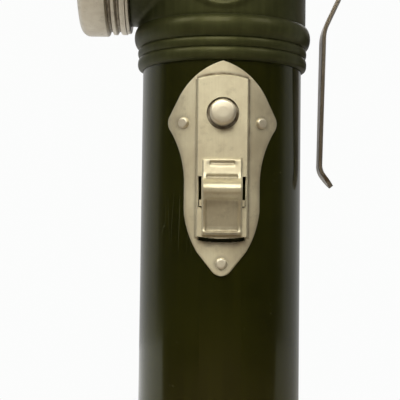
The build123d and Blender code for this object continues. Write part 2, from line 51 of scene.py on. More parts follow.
# ------------------------------------------------------------------ battery tube
# A drawn sheet-metal tube for two round cells, with a window punched under the switch, dipped
# in a glossy dark olive enamel. Years of handling have left hairlines and specks in the gloss.

tube_low, tube_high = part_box("body_tube")
tube_radius = tube_high.x
tube_wall = 0.7 * mm
tube_edge = 0.25 * mm
plate_low, plate_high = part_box("switch_plate")
plate_tip = plate_high.z
window_half = 4.6 * mm
window_top, window_bottom = plate_tip - 7 * mm, plate_tip - 36 * mm


def rounded(corners, closed=True, steps=6):
    """Points of an outline whose (x, y, radius) corners are turned into arcs."""
    points, count = [], len(corners)
    for index, (x, y, radius) in enumerate(corners):
        here = Vector((x, y))
        if radius <= 0 or (not closed and index in (0, count - 1)):
            points.append(here)
            continue
        before = Vector(corners[index - 1][:2]) - here
        after = Vector(corners[(index + 1) % count][:2]) - here
        half_angle = before.angle(after) / 2
        reach = min(radius / math.tan(half_angle), before.length * 0.49, after.length * 0.49)
        radius = reach * math.tan(half_angle)
        start, end = here + before.normalized() * reach, here + after.normalized() * reach
        inward = (before.normalized() + after.normalized()).normalized()
        centre = here + inward * radius / math.sin(half_angle)
        for step in range(steps + 1):
            spoke = (start - centre).slerp(end - centre, step / steps)
            points.append(centre + spoke.normalized() * radius)
    return points


def soft_shading(mesh, sharp):
    """Smooth shading, but for edges sharper than an angle in degrees."""
    mesh.shade_smooth()
    mesh.set_sharp_from_angle(angle=math.radians(sharp))


def piece(name, vertices, faces, place=None, sharp=35):
    """Makes an object from vertices and faces, with its normals outwards and soft shading."""
    mesh = bpy.data.meshes.new(name)
    mesh.from_pydata([tuple(v) for v in vertices], [], faces)
    work = bmesh.new()
    work.from_mesh(mesh)
    bmesh.ops.remove_doubles(work, verts=work.verts, dist=1e-7)
    bmesh.ops.recalc_face_normals(work, faces=work.faces)
    work.to_mesh(mesh)
    work.free()
    if place is not None:
        mesh.transform(place)
    soft_shading(mesh, sharp)
    made = bpy.data.objects.new(name, mesh)
    bpy.context.scene.collection.objects.link(made)
    return made


def turned(name, outline, place=None, segments=192):
    """Turns a closed outline of (radius, height) points about the Z axis."""
    vertices, faces, count = [], [], len(outline)
    for turn in range(segments):
        angle = 2 * math.pi * turn / segments
        vertices += [(max(r, 0) * math.cos(angle), max(r, 0) * math.sin(angle), h) for r, h in outline]
    for turn in range(segments):
        here, there = turn * count, (turn + 1) % segments * count
        for step in range(count):
            after = (step + 1) % count
            if outline[step][0] > 1e-9 or outline[after][0] > 1e-9:
                faces.append((here + step, there + step, there + after, here + after))
    return piece(name, vertices, faces, place)


def box_between(low, high):
    """Vertices and faces of a box between two corners."""
    grid = [(x, y, z) for x in (low[0], high[0]) for y in (low[1], high[1]) for z in (low[2], high[2])]
    return grid, [(0, 1, 3, 2), (4, 6, 7, 5), (0, 4, 5, 1), (2, 3, 7, 6), (0, 2, 6, 4), (1, 5, 7, 3)]


def boolean(tool, operation="DIFFERENCE"):
    """Modifier that cuts a tool away from a piece, or joins it on."""
    return "BOOLEAN", {"operation": operation, "object": tool, "solver": "MANIFOLD"}


def worked(made, modifiers=(), tools=()):
    """Turns a piece with its modifiers into a plain mesh, and clears the tools away."""
    for kind, settings in modifiers:
        modifier = made.modifiers.new(kind, kind)
        for key, value in settings.items():
            setattr(modifier, key, value)
    bpy.context.view_layer.update()
    result = bpy.data.meshes.new_from_object(made.evaluated_get(bpy.context.evaluated_depsgraph_get()))
    made.modifiers.clear()
    old, made.data = made.data, result
    bpy.data.meshes.remove(old)
    result.name = made.name
    for tool in tools:
        bpy.data.objects.remove(tool)


def fill(tree, target, values):
    """Gives a node its inputs, by name or number, as values or as other nodes' sockets."""
    for key, value in values.items():
        if isinstance(value, bpy.types.NodeSocket):
            tree.links.new(value, target.inputs[key])
        else:
            target.inputs[key].default_value = value


def node(tree, kind, inputs=None, **settings):
    """Adds a node with its settings and its inputs."""
    made = tree.nodes.new(kind if "Node" in kind else "ShaderNode" + kind)
    for key, value in settings.items():
        setattr(made, key, value)
    fill(tree, made, inputs or {})
    return made


def ramp(tree, source, stops):
    """Colour ramp over a socket, from (position, grey or colour) stops."""
    made = node(tree, "ValToRGB", {"Fac": source})
    elements = made.color_ramp.elements
    while len(elements) < len(stops):
        elements.new(0.5)
    for element, (position, value) in zip(elements, stops):
        element.position = position
        element.color = (value, value, value, 1) if isinstance(value, (int, float)) else (*value, 1)
    return made.outputs["Color"]


def noise(tree, place, scale, detail=3, stretch=(1, 1, 1), rough=0.5):
    """Noise on object coordinates, stretched along an axis where the finish runs that way."""
    spread = node(tree, "Mapping", {"Vector": place, "Scale": stretch}).outputs[0]
    sizes = {"Vector": spread, "Scale": scale, "Detail": detail, "Roughness": rough}
    return node(tree, "TexNoise", sizes).outputs["Fac"]


def mixed(tree, share, first, second):
    """A colour between two others."""
    ends = [c if isinstance(c, bpy.types.NodeSocket) else (*c, 1) for c in (first, second)]
    return node(tree, "Mix", {0: share, 6: ends[0], 7: ends[1]}, data_type="RGBA").outputs[2]


def sum_of(tree, operation, first, second):
    """Two values added, compared or the like."""
    return node(tree, "Math", {0: first, 1: second}, operation=operation).outputs[0]


def times(tree, first, second):
    """Two values multiplied."""
    return sum_of(tree, "MULTIPLY", first, second)


def bumped(tree, height, strength, depth):
    """Normals of a fine relief."""
    return node(tree, "Bump", {"Height": height, "Strength": strength, "Distance": depth}).outputs[0]


def blank_material(name):
    """Material with its tree, its shader and its object coordinates."""
    made = bpy.data.materials.new(name)
    made.use_nodes = True
    tree = made.node_tree
    return made, tree, tree.nodes["Principled BSDF"], node(tree, "TexCoord").outputs["Object"]


def paint(name, deep, pale, roughness, coat, peel, gloss=0.5):
    """Sprayed or dipped paint: clouded colour, hairlines, specks of dust and a fine skin texture."""
    made, tree, shader, place = blank_material(name)
    clouds = ramp(tree, noise(tree, place, 70, 5), [(0.3, 0.0), (0.7, 1.0)])
    drawn = ramp(tree, noise(tree, place, 900, 2, stretch=(1, 1, 0.02)), [(0.42, 0.0), (0.75, 0.35)])
    body = mixed(tree, drawn, mixed(tree, clouds, deep, pale), tuple(c * 1.7 for c in pale))
    hair = noise(tree, place, 420, 1, stretch=(1, 1, 0.06), rough=0.3)
    hairline = ramp(tree, hair, [(0.494, 0.0), (0.5, 0.5), (0.506, 0.0)])
    worn_here = ramp(tree, noise(tree, place, 55, 3), [(0.5, 0.0), (0.68, 1.0)])
    dots = node(tree, "TexVoronoi", {"Vector": place, "Scale": 650.0, "Randomness": 1.0})
    speck = ramp(tree, dots.outputs["Distance"], [(0.05, 1.0), (0.1, 0.0)])
    chosen = ramp(tree, noise(tree, place, 240, 1), [(0.6, 0.0), (0.66, 1.0)])
    hairline, speck = times(tree, hairline, worn_here), times(tree, speck, chosen)
    scar = sum_of(tree, "MAXIMUM", hairline, speck)
    smear = {"Value": noise(tree, place, 160, 4), "To Min": roughness * 0.75, "To Max": roughness * 1.3}
    skin = times(tree, noise(tree, place, 1500, 2), peel)
    relief = sum_of(tree, "SUBTRACT", skin, times(tree, scar, 0.5))
    fill(tree, shader, {
        "Base Color": mixed(tree, times(tree, scar, 0.35), body, (0.16, 0.16, 0.11)),
        "Roughness": node(tree, "MapRange", smear).outputs[0],
        "Normal": bumped(tree, relief, 0.25, 0.05 * mm),
        "Coat Weight": coat,
        "Coat Roughness": 0.08,
        "Specular IOR Level": gloss,
        "Specular Tint": (1.0, 1.0, 0.45, 1.0),
    })
    return made


def finish(made, material, sharp=None):
    """Gives a piece its finish, and new soft shading where its mesh was cut."""
    made.data.materials.clear()
    made.data.materials.append(material)
    if sharp is not None:
        soft_shading(made.data, sharp)


olive_enamel = paint("olive_enamel", (0.0076, 0.008, 0.0005), (0.0128, 0.013, 0.0012), 0.2, 0.5, 0.25)
battery_tube = turned("battery_tube", rounded([
    (tube_radius - tube_wall, tube_low.z, 0),
    (tube_radius, tube_low.z, tube_edge),
    (tube_radius, tube_high.z, tube_edge),
    (tube_radius - tube_wall, tube_high.z, 0),
]), segments=256)
switch_window = piece("window_tool", *box_between(
    (tube_radius * 0.8, -window_half, window_bottom),
    (tube_radius * 1.1, window_half, window_top),
))
worked(battery_tube, [boolean(switch_window)], [switch_window])
finish(battery_tube, olive_enamel, sharp=35)
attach(battery_tube, "casing")
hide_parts("body_tube")

# ------------------------------------------------------------------ head
# Two pressings in a duller grey-green paint: a collar with a heavy rolled bead above two
# rolled ridges, and a lamp housing that bends the light through a right angle.

head_low, head_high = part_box("head_shell")
ring_low, ring_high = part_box("lens_ring")
lens_z = (ring_low.z + ring_high.z) / 2
collar_z = head_low.z + 0.3 * mm
collar_height = 10 * mm
skirt_radius = tube_radius + 0.75 * mm
neck_radius = tube_radius + 1.0 * mm
dome_radius = neck_radius + 0.4 * mm
barrel_radius = head_high.x
barrel_front = neck_radius + 2.0 * mm
flare_length = 12 * mm
head_wall = 0.8 * mm

grey_green_paint = paint(
    "grey_green_paint", (0.0155, 0.017, 0.0055), (0.027, 0.029, 0.011), 0.42, 0.05, 0.9, 0.3
)


def rolled_bump(height, centre, half, rise):
    """How far a rolled bead stands out at a height."""
    share = (height - centre) / half
    return rise * math.sqrt(max(0.0, 1 - share * share))


collar_beads = [  # height, half height, rise
    (1.35 * mm, 1.3 * mm, 0.5 * mm),
    (3.85 * mm, 1.1 * mm, 0.5 * mm),
    (7.5 * mm, 2.55 * mm, 1.35 * mm),
]
slip = 0.06 * mm  # gap between two parts that are pushed or screwed together
collar_bore = tube_radius + slip
collar_edge = tube_radius + 0.1 * mm
collar_steps = 110
collar_outline = [(collar_bore, collar_z - 0.25 * mm)]
for step in range(collar_steps + 1):
    height = -0.2 * mm + (collar_height + 0.6 * mm) * step / collar_steps
    stand = max(rolled_bump(height, *bead) for bead in collar_beads)
    foot = min(1.0, (height + 0.25 * mm) / (0.35 * mm))
    root = collar_edge + (skirt_radius - collar_edge) * math.sqrt(max(0.0, foot))
    collar_outline.append((root + stand, collar_z + height))
collar_outline.append((collar_bore, collar_z + collar_height + 0.4 * mm))
head_collar = turned("head_collar", collar_outline, segments=256)
finish(head_collar, grey_green_paint)
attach(head_collar, "casing")

lens_axis_place = Matrix.Translation((0, 0, lens_z)) @ Matrix.Rotation(math.radians(90), 4, "X")


def step_up(value, low, high):
    """Smooth step from 0 to 1 between two values."""
    share = min(1.0, max(0.0, (value - low) / (high - low)))
    return share * share * (3 - 2 * share)


def hump(value, middle, width):
    """Bell curve about a middle."""
    return math.exp(-(((value - middle) / width) ** 2))


def flare(share):
    """Radius of the housing between the dome and the barrel, widening with no corner."""
    return dome_radius + (barrel_radius - dome_radius) * step_up(share, 0, 1)


dome_angles = np.linspace(0, math.pi / 2, 24)
barrel_end = barrel_front + 0.6 * mm
housing_outline = [(dome_radius * math.sin(a), -dome_radius * math.cos(a)) for a in dome_angles]
housing_outline += [(flare(s), flare_length * s) for s in np.linspace(0, 1, 14)[1:]]
housing_outline += [(barrel_radius, barrel_end), (0, barrel_end)]
housing = turned("lamp_housing", housing_outline, lens_axis_place, 128)
neck_bottom = collar_z + collar_height - 0.6 * mm
neck_outline = [(0, neck_bottom), (neck_radius, neck_bottom), (neck_radius, lens_z), (0, lens_z)]
neck = turned("neck_tool", neck_outline, segments=128)
worked(housing, [
    boolean(neck, "UNION"),
    ("REMESH", {"mode": "VOXEL", "voxel_size": 0.5 * mm}),
    ("SMOOTH", {"factor": 0.5, "iterations": 14}),
], [neck])
boss_z = collar_z + 21.5 * mm
boss_radius, boss_rise = 10.4 * mm, 0.4 * mm
normals = [vertex.normal.copy() for vertex in housing.data.vertices]
for vertex, normal in zip(housing.data.vertices, normals):
    from_boss = math.hypot(vertex.co.y, vertex.co.z - boss_z)
    edge = step_up(boss_radius - from_boss, 0, 0.7 * mm)
    groove = hump(from_boss, boss_radius - 1.9 * mm, 0.45 * mm)
    vertex.co += normal * boss_rise * (edge - 0.8 * groove)
cavity_radius, cavity_end = barrel_radius - head_wall, 40 * mm
cavity_outline = [(0, 5 * mm), (cavity_radius, 9 * mm), (cavity_radius, cavity_end), (0, cavity_end)]
cavity = turned("cavity_tool", cavity_outline, lens_axis_place, 128)
worked(housing, [boolean(cavity)], [cavity])
finish(housing, grey_green_paint, sharp=50)
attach(housing, "casing")
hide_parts("head_shell")

# ------------------------------------------------------------------ lens ring
# A heavy spun ring in worn nickel plate that screws onto the barrel and holds the glass: a
# wide band with a rounded front corner, two fine grooves with a ridge between, and a rear rim.

ring_radius = ring_high.x
ring_bore = barrel_radius + slip
ring_length = -ring_low.y - barrel_front
window_radius = barrel_radius - 2.0 * mm
lip = 1.0 * mm


def store_painted_shade(made, shares):
    """Stores how much painted shade each vertex gets, for the plated finishes to darken it with."""
    layer = made.data.attributes.new("painted_shade", "FLOAT", "POINT")
    layer.data.foreach_set("value", shares)


def worn_plate(name, bright, dull, roughness, grain, brushed, tarnish=0.5):
    """Nickel plate that has yellowed and dulled. Brushed is "length" for lines up the tube,
    or an axis point for lines that run round it."""
    made, tree, shader, place = blank_material(name)
    clouds = ramp(tree, noise(tree, place, 130, 5, rough=0.6), [(0.35, 0.0), (0.68, 1.0)])
    stain = ramp(tree, noise(tree, place, 330, 4, rough=0.65), [(0.55, 0.0), (0.75, tarnish)])
    colour = mixed(tree, stain, mixed(tree, clouds, bright, dull), tuple(c * 0.45 for c in dull))
    if brushed == "length":
        lines = noise(tree, place, grain, 2, stretch=(1, 1, 0.03))
    else:
        centred = node(tree, "VectorMath", {0: place, 1: brushed}, operation="SUBTRACT").outputs[0]
        parts = node(tree, "SeparateXYZ", {0: centred}).outputs
        across = node(tree, "VectorMath", {0: centred}, operation="LENGTH").outputs["Value"]
        turn = times(tree, sum_of(tree, "ARCTAN2", parts[0], parts[2]), 0.0006)
        round_lines = node(tree, "CombineXYZ", {0: across, 1: parts[1], 2: turn}).outputs[0]
        lines = node(tree, "TexNoise", {"Vector": round_lines, "Scale": grain, "Detail": 2.0}).outputs["Fac"]
    colour = mixed(tree, times(tree, lines, 0.35), colour, dull)
    # Painted shade: where the vertex share is high, the plate turns dark brown and less metallic, standing in
    # for shade in hollows and under parts.
    shade_share = node(tree, "Attribute", attribute_name="painted_shade").outputs["Fac"]
    patchy_shade = ramp(tree, noise(tree, place, 480, 4), [(0.25, 0.6), (0.6, 1.0)])
    patchy_shade = times(tree, shade_share, patchy_shade)
    pits = node(tree, "TexVoronoi", {"Vector": place, "Scale": 1400.0, "Randomness": 1.0})
    pit = ramp(tree, pits.outputs["Distance"], [(0.08, 1.0), (0.16, 0.0)])
    pit = times(tree, pit, ramp(tree, noise(tree, place, 300, 2), [(0.56, 0.0), (0.62, 1.0)]))
    rubbed = sum_of(tree, "ADD", times(tree, lines, 0.16), times(tree, stain, 0.25))
    relief = sum_of(tree, "SUBTRACT", times(tree, lines, 0.5), pit)
    fill(tree, shader, {
        "Base Color": mixed(tree, patchy_shade, colour, (0.1, 0.066, 0.03)),
        "Roughness": sum_of(tree, "ADD", rubbed, roughness),
        "Normal": bumped(tree, relief, 0.3, 0.03 * mm),
        "Metallic": sum_of(tree, "SUBTRACT", 1.0, times(tree, shade_share, 0.5)),
    })
    return made


ring_plate = worn_plate(
    "ring_plate", (0.86, 0.82, 0.73), (0.64, 0.58, 0.49), 0.34, 5200.0, (0, 0, lens_z)
)
rear, core = ring_radius - 0.7 * mm, ring_radius - 1.15 * mm
ring_corners = [
    (ring_bore, 0.06 * mm, 0),
    (rear, 0.06 * mm, 0.3 * mm),
    (rear, 0.9 * mm, 0.1 * mm),
    (rear + 0.25 * mm, 1.0 * mm, 0.15 * mm),
    (rear + 0.25 * mm, 2.2 * mm, 0.35 * mm),
    (core, 2.55 * mm, 0.2 * mm),
    (core, 3.0 * mm, 0.15 * mm),
    (ring_radius - 0.4 * mm, 3.3 * mm, 0.3 * mm),
    (ring_radius - 0.4 * mm, 4.15 * mm, 0.3 * mm),
    (core, 4.5 * mm, 0.15 * mm),
    (core, 5.0 * mm, 0.2 * mm),
    (ring_radius, 5.35 * mm, 0.45 * mm),
    (ring_radius, ring_length, 2.7 * mm),
    (window_radius, ring_length, 0.4 * mm),
    (window_radius, ring_length - lip, 0.2 * mm),
    (ring_bore, ring_length - lip, 0),
]
ring_place = lens_axis_place @ Matrix.Translation((0, 0, barrel_front))
front_ring = turned("front_ring", rounded(ring_corners), ring_place, 256)
finish(front_ring, ring_plate)
# Painted shade: the two grooves and the inner part of the ring's back face are darkened.
front_corner = -barrel_front - ring_length + 3 * mm
ring_groove_shade = []
for vertex in front_ring.data.vertices:
    across = math.hypot(vertex.co.x, vertex.co.z - lens_z)
    in_groove = ring_bore + 0.2 * mm < across < core + 0.25 * mm and vertex.co.y > front_corner
    ring_groove_shade.append(0.85 * in_groove)
store_painted_shade(front_ring, ring_groove_shade)
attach(front_ring, "lens_ring")
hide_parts("lens_ring")

# ------------------------------------------------------------------ glass, gasket, reflector and lamp
# Flat window glass with ground edges on a moulded rubber ring, in front of a silvered bowl.
# The screw-base lamp stands at the bowl's focus, with a coiled filament between two posts.

glass_low, glass_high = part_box("lens_glass")
gasket_low, gasket_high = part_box("lens_gasket")
bowl_low, bowl_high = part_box("reflector")
globe_low, globe_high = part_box("lamp_glass")


def clear_material(name, tint):
    """Glass with a faint film on it."""
    made, tree, shader, place = blank_material(name)
    film = ramp(tree, noise(tree, place, 220, 5), [(0.45, 0.0), (0.75, 0.16)])
    fill(tree, shader, {
        "Base Color": mixed(tree, film, tint, tuple(c * 0.9 for c in tint)),
        "Roughness": sum_of(tree, "ADD", film, 0.01),
        "Normal": bumped(tree, noise(tree, place, 90, 1), 0.05, 0.02 * mm),
        "Transmission Weight": 1.0,
        "IOR": 1.5,
    })
    return made


window_glass = clear_material("window_glass", (0.97, 0.99, 0.98))
glass_radius = glass_high.x
window = turned("front_glass", rounded([
    (0, -glass_high.y, 0),
    (glass_radius, -glass_high.y, 0.2 * mm),
    (glass_radius, -glass_low.y, 0.4 * mm),
    (0, -glass_low.y, 0),
]), lens_axis_place, 160)
finish(window, window_glass)
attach(window, "lens_seat")
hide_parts("lens_glass")


def rubber(name):
    """Black rubber with a grey bloom."""
    made, tree, shader, place = blank_material(name)
    bloom = ramp(tree, noise(tree, place, 300, 5), [(0.4, 0.0), (0.75, 1.0)])
    fill(tree, shader, {
        "Base Color": mixed(tree, bloom, (0.012, 0.012, 0.012), (0.035, 0.034, 0.032)),
        "Roughness": sum_of(tree, "ADD", times(tree, bloom, 0.2), 0.55),
        "Normal": bumped(tree, noise(tree, place, 3000, 2), 0.3, 0.04 * mm),
    })
    return made


black_rubber = rubber("black_rubber")
gasket = turned("glass_gasket", rounded([
    (window_radius, -gasket_high.y, 0.3 * mm),
    (glass_radius, -gasket_high.y, 0.3 * mm),
    (glass_radius, -gasket_low.y, 0.3 * mm),
    (window_radius, -gasket_low.y, 0.3 * mm),
]), lens_axis_place, 128)
finish(gasket, black_rubber)
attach(gasket, "lens_seat")
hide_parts("lens_gasket")

focal_length = 6.3 * mm
bowl_rim = 23.0 * mm
bowl_hole = 5.5 * mm
mouth = -bowl_low.y - 0.5 * mm
bowl_vertex = mouth - bowl_rim**2 / (4 * focal_length)
bowl_curve = [(r, bowl_vertex + r * r / (4 * focal_length)) for r in np.linspace(bowl_hole, bowl_rim, 40)]
flange_front = mouth + 0.5 * mm
bowl_outline = bowl_curve + [(bowl_rim, flange_front), (glass_radius, flange_front)]
bowl_outline.append((glass_radius, mouth + 0.05 * mm))
bowl_outline += [(r + 0.4 * mm, h - 0.4 * mm) for r, h in reversed(bowl_curve)]


def silvered(name):
    """Silvering with a slight haze."""
    made, tree, shader, place = blank_material(name)
    haze = ramp(tree, noise(tree, place, 180, 5, rough=0.65), [(0.45, 0.0), (0.8, 1.0)])
    fill(tree, shader, {
        "Base Color": mixed(tree, haze, (0.93, 0.93, 0.92), (0.78, 0.76, 0.7)),
        "Roughness": sum_of(tree, "ADD", times(tree, haze, 0.12), 0.05),
        "Normal": bumped(tree, noise(tree, place, 700, 2), 0.08, 0.03 * mm),
        "Metallic": 1.0,
    })
    return made


bowl = turned("silvered_bowl", bowl_outline, lens_axis_place, 160)
finish(bowl, silvered("silvered"))
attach(bowl, "casing")
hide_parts("reflector")

globe_radius = (globe_high.x - globe_low.x) / 2
globe_centre = Vector((0, globe_low.y + globe_radius, lens_z))
globe_neck = globe_radius * 0.62
shell = 0.45 * mm
join_angle = math.asin(globe_neck / globe_radius)
globe_outer, globe_inner = [(globe_neck, -globe_high.y)], []
for a in np.linspace(math.pi - join_angle, 0, 28):
    globe_outer.append((globe_radius * math.sin(a), -globe_centre.y + globe_radius * math.cos(a)))
for r, h in reversed(globe_outer):
    inner_height = h - shell if h > -globe_centre.y else h
    globe_inner.append((max(0.0, r - shell * r / globe_radius), inner_height))
globe = turned("lamp_globe", globe_outer + globe_inner, lens_axis_place, 64)
finish(globe, window_glass)
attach(globe, "casing")
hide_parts("lamp_glass")


def swept(name, path, radius, closed=False, sides=12):
    """Round wire along a list of points, with closed ends."""
    vertices, faces, count = [], [], len(path)
    across = None
    for index, point in enumerate(path):
        before = path[index - 1] if (closed or index > 0) else point
        after = path[(index + 1) % count] if (closed or index < count - 1) else point
        along = (after - before).normalized()
        if across is None:
            across = along.orthogonal().normalized()
        across = (across - along * across.dot(along)).normalized()
        up = along.cross(across)
        for side in range(sides):
            angle = 2 * math.pi * side / sides
            vertices.append(point + (across * math.cos(angle) + up * math.sin(angle)) * radius)
    for index in range(count if closed else count - 1):
        here, there = index * sides, (index + 1) % count * sides
        for side in range(sides):
            after = (side + 1) % sides
            faces.append((here + side, here + after, there + after, there + side))
    if not closed:
        faces.append(tuple(range(sides)))
        faces.append(tuple(range((count - 1) * sides, count * sides)))
    return piece(name, vertices, faces)


def plain_metal(name, colour, roughness, tarnish):
    """Solid metal with a clouded tarnish and fine drawing lines."""
    made, tree, shader, place = blank_material(name)
    clouds = ramp(tree, noise(tree, place, 260, 5), [(0.4, 0.0), (0.75, 1.0)])
    lines = noise(tree, place, 3500, 2, stretch=(1, 1, 0.05))
    fill(tree, shader, {
        "Base Color": mixed(tree, clouds, colour, tarnish),
        "Roughness": sum_of(tree, "ADD", times(tree, lines, 0.2), roughness),
        "Normal": bumped(tree, lines, 0.2, 0.03 * mm),
        "Metallic": 1.0,
    })
    return made


tungsten = plain_metal("tungsten", (0.35, 0.34, 0.33), 0.35, (0.2, 0.19, 0.18))
post_reach, coil_half, coil_radius = 1.6 * mm, 1.5 * mm, 0.22 * mm
coil_turns, coil_steps = 9, 10
coil = []
for step in range(coil_turns * coil_steps + 1):
    turn = step / coil_steps * 2 * math.pi
    coil.append(globe_centre + Vector((
        -coil_half + 2 * coil_half * step / (coil_turns * coil_steps),
        coil_radius * math.cos(turn),
        coil_radius * math.sin(turn),
    )))
posts = [[
    Vector((side * 0.8 * mm, globe_high.y - 0.3 * mm, lens_z)),
    Vector((side * 0.9 * mm, globe_centre.y + 2.6 * mm, lens_z)),
    Vector((side * post_reach, globe_centre.y, lens_z)),
] for side in (-1, 1)]
lamp_wires = [("filament", coil, 0.06 * mm)]
lamp_wires += [("post_left", posts[0], 0.15 * mm), ("post_right", posts[1], 0.15 * mm)]
for name, wire, thickness in lamp_wires:
    made = swept(name, wire, thickness, sides=6)
    finish(made, tungsten)
    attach(made, "casing")

# ------------------------------------------------------------------ switch plate
# A shield-shaped plate pressed from nickel-plated sheet, curved to the tube. A flat channel is
# raised along it, lanced open at its lower end, with a hole for the button and slots for the slide.

plate_length = plate_high.z - plate_low.z
plate_sheet = 0.55 * mm
plate_radius = tube_radius + 0.62 * mm
platform_x = plate_high.x
platform_half = 5.8 * mm
platform_start, platform_end, platform_arch = 4.0 * mm, 39.7 * mm, 0.9 * mm
slot_half, slot_end = 5.2 * mm, 40.45 * mm
button_low, button_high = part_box("flash_button")
slide_low, slide_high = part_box("switch_slide")
ear_rivet_y, rivet_depth, foot_rivet_depth = 8.8 * mm, 13.8 * mm, 45.1 * mm


def arc_through(start, middle, end, steps=14):
    """Points of the circle through three points, from the first to the last."""
    (ax, ay), (bx, by), (cx, cy) = start, middle, end
    d = 2 * (ax * (by - cy) + bx * (cy - ay) + cx * (ay - by))
    a2, b2, c2 = ax * ax + ay * ay, bx * bx + by * by, cx * cx + cy * cy
    ux = (a2 * (by - cy) + b2 * (cy - ay) + c2 * (ay - by)) / d
    uy = (a2 * (cx - bx) + b2 * (ax - cx) + c2 * (bx - ax)) / d
    centre = Vector((ux, uy))
    first, last = Vector(start) - centre, Vector(end) - centre
    return [centre + first.slerp(last, step / steps).normalized() * first.length for step in range(steps + 1)]


ear = (12.2 * mm, 13.7 * mm)
waist = (8.4 * mm, 26.7 * mm)
hip_end = (5.33 * mm, 42.7 * mm)
plate_edge = arc_through((0, 0), (5.4 * mm, 2.75 * mm), (9.55 * mm, 7.6 * mm), 30)
plate_edge += arc_through((11.75 * mm, 12.0 * mm), ear, (11.6 * mm, 15.4 * mm), 10)
plate_edge += arc_through((11.6 * mm, 15.4 * mm), (9.25 * mm, 21.1 * mm), waist)
plate_edge += arc_through((8.4 * mm, 33.4 * mm), (7.4 * mm, 38.2 * mm), hip_end)
plate_edge += arc_through((2.3 * mm, 46.5 * mm), (1.27 * mm, 47.5 * mm), (0, plate_length), 12)
edge_half = np.array([p[0] for p in plate_edge])
edge_depth = np.maximum.accumulate(np.array([p[1] for p in plate_edge]))


def bow(y):
    """How much higher the slot's edges are away from the middle."""
    return 0.45 * mm * (y / slot_half) ** 2


def arch_depth(y):
    """Depth of the platform's arched upper edge."""
    arch = (platform_half**2 + platform_arch**2) / (2 * platform_arch)
    return platform_start - platform_arch + arch - math.sqrt(arch * arch - min(abs(y), platform_half) ** 2)


def plate_height(y, depth):
    """How far the plate's face stands from the tube's axis plane at a place on it."""
    sheet = math.sqrt(plate_radius**2 - y * y)
    start, end = arch_depth(y), platform_end - bow(y)
    raised = step_up(depth, start - 0.1 * mm, start + 0.5 * mm)
    raised *= 1 - step_up(abs(y), platform_half - 0.35 * mm, platform_half + 0.15 * mm)
    raised *= 1 - step_up(depth, end + 0.02 * mm, end + 0.3 * mm)
    return sheet + (platform_x - sheet) * raised


inner_columns = list(np.linspace(0, 4.6, 12))
inner_columns += [4.9, 5.1, 5.3, 5.42, 5.5, 5.58, 5.66, 5.74, 5.82, 5.9, 5.98, 6.1, 6.3]
outer_shares = [0.12, 0.28, 0.45, 0.62, 0.78, 0.9, 0.96, 0.985, 1.0]
depths = [0.02, 0.08, 0.18, 0.32, 0.5, 0.75]
runs = [(1.05, 3.0, 0.3), (3.0, 5.4, 0.1), (5.5, 38.5, 0.4), (38.6, 41.2, 0.1), (41.5, 47.0, 0.35)]
for first, last, stride in runs:
    depths += list(np.arange(first, last, stride))
depths += [47.2, 47.4, 47.6, 47.7, 47.8, 47.86]
core_width = 6.3 * mm
plate_vertices, plate_rows = [], []
for depth in (d * mm for d in depths):
    half = float(np.interp(depth, edge_depth, edge_half))
    core_half = min(half * 0.9, core_width)
    right = [c * mm * core_half / core_width for c in inner_columns]
    right += [core_half + (half - core_half) * s for s in outer_shares]
    row = [-y for y in reversed(right[1:])] + right
    plate_rows.append(range(len(plate_vertices), len(plate_vertices) + len(row)))
    for y in row:
        rim = step_up(abs(y), half - 0.28 * mm, half) * 0.16 * mm
        plate_vertices.append((plate_height(y, depth) - rim, y, plate_tip - depth))
plate_faces = []
for upper, lower in zip(plate_rows, plate_rows[1:]):
    for index in range(len(upper) - 1):
        corners = (upper[index], upper[index + 1], lower[index + 1], lower[index])
        middle = sum((Vector(plate_vertices[c]) for c in corners), Vector()) / 4
        depth = plate_tip - middle.z
        in_slot = platform_end < depth + bow(middle.y) < slot_end and abs(middle.y) < slot_half
        if not in_slot:
            plate_faces.append(corners)
shield = piece("shield_plate", plate_vertices, plate_faces)
if sum(face.normal.x for face in shield.data.polygons) < 0:
    shield.data.flip_normals()

button_z = (button_low.z + button_high.z) / 2
button_place = Matrix.Translation((0, 0, button_z)) @ Matrix.Rotation(math.radians(90), 4, "Y")
inside_x, outside_x = platform_x - 1.2 * mm, platform_x + 1.0 * mm
hole_radius, stem_half = 3.6 * mm, 1.3 * mm
hole_outline = [(0, inside_x), (hole_radius, inside_x), (hole_radius, outside_x), (0, outside_x)]
tools = [turned("hole_tool", hole_outline, button_place, 64)]
lug_slot_top, lug_slot_bottom = slide_high.z - 4.1 * mm, slide_high.z - 10.9 * mm
for side in (-1, 1):
    lug_slot = box_between(
        (inside_x, side * 4.5 * mm, lug_slot_bottom),
        (outside_x, side * 5.32 * mm, lug_slot_top),
    )
    tools.append(piece("slot_tool", *lug_slot))
stem_slot = box_between(
    (inside_x, -stem_half, slide_high.z - 9.9 * mm),
    (outside_x, stem_half, slide_high.z - 1.9 * mm),
)
tools.append(piece("stem_tool", *stem_slot))
sheet = ("SOLIDIFY", {"thickness": plate_sheet, "offset": -1.0})
worked(shield, [sheet] + [boolean(tool) for tool in tools], tools)
nickel = worn_plate(
    "warm_nickel", (0.82, 0.78, 0.62), (0.63, 0.575, 0.44), 0.47, 3800.0, "length", tarnish=0.35
)
finish(shield, nickel, sharp=38)
